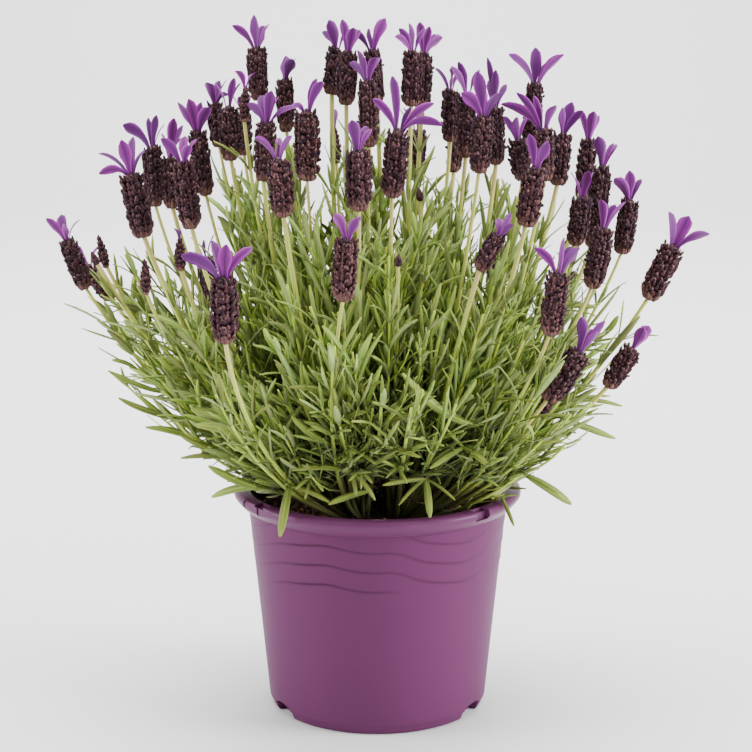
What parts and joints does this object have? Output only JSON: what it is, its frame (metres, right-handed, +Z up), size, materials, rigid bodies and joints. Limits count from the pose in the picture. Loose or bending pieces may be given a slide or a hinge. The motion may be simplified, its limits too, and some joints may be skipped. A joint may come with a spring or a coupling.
{
  "type": "potted lavender plant",
  "caption": "Butterfly lavender in flower in a round plastic nursery pot: narrow grey-green leaves under dark spikes, each topped by violet bracts",
  "frame": {"origin": "The centre of the pot's underside, in the plane that the pot stands on.", "axes": "+Z is up. -Y is the side that the picture shows, and +X is to the right in it."},
  "size_m": [0.3296, 0.2687, 0.3581],
  "materials": {
    "pot": "satin, injection moulded",
    "soil": "loose and matt",
    "foliage": "matt, finely felted",
    "flower": "matt, finely hairy"
  },
  "bodies": {
    "root": {"pot": "pot", "soil": "soil", "branch_1": "foliage", "branch_2": "foliage", "branch_3": "foliage", "branch_4": "foliage", "branch_5": "foliage", "branch_6": "foliage", "flower_head_01": "flower", "flower_head_02": "flower", "flower_head_03": "flower", "flower_head_04": "flower", "flower_head_05": "flower", "flower_head_06": "flower", "flower_head_07": "flower", "flower_head_08": "flower", "flower_head_09": "flower", "flower_head_10": "flower", "flower_head_11": "flower", "flower_head_12": "flower", "flower_head_13": "flower", "flower_head_14": "flower", "flower_head_15": "flower", "flower_head_16": "flower", "flower_head_17": "flower", "flower_head_18": "flower", "flower_head_19": "flower", "flower_head_20": "flower", "flower_head_21": "flower", "flower_head_22": "flower", "flower_head_23": "flower", "flower_head_24": "flower", "flower_head_25": "flower", "flower_head_26": "flower", "flower_head_27": "flower", "flower_head_28": "flower", "flower_head_29": "flower", "flower_head_30": "flower", "flower_head_31": "flower", "flower_head_32": "flower", "flower_head_33": "flower", "flower_head_34": "flower", "flower_head_35": "flower", "flower_head_36": "flower", "flower_head_37": "flower", "flower_head_38": "flower", "flower_head_39": "flower", "flower_head_40": "flower", "flower_head_41": "flower", "flower_head_42": "flower", "flower_head_43": "flower", "flower_head_44": "flower", "flower_head_45": "flower", "flower_head_46": "flower", "flower_head_47": "flower", "flower_head_48": "flower", "flower_head_49": "flower", "flower_head_50": "flower", "flower_head_51": "flower", "flower_head_52": "flower"}
  },
  "joints": []
}
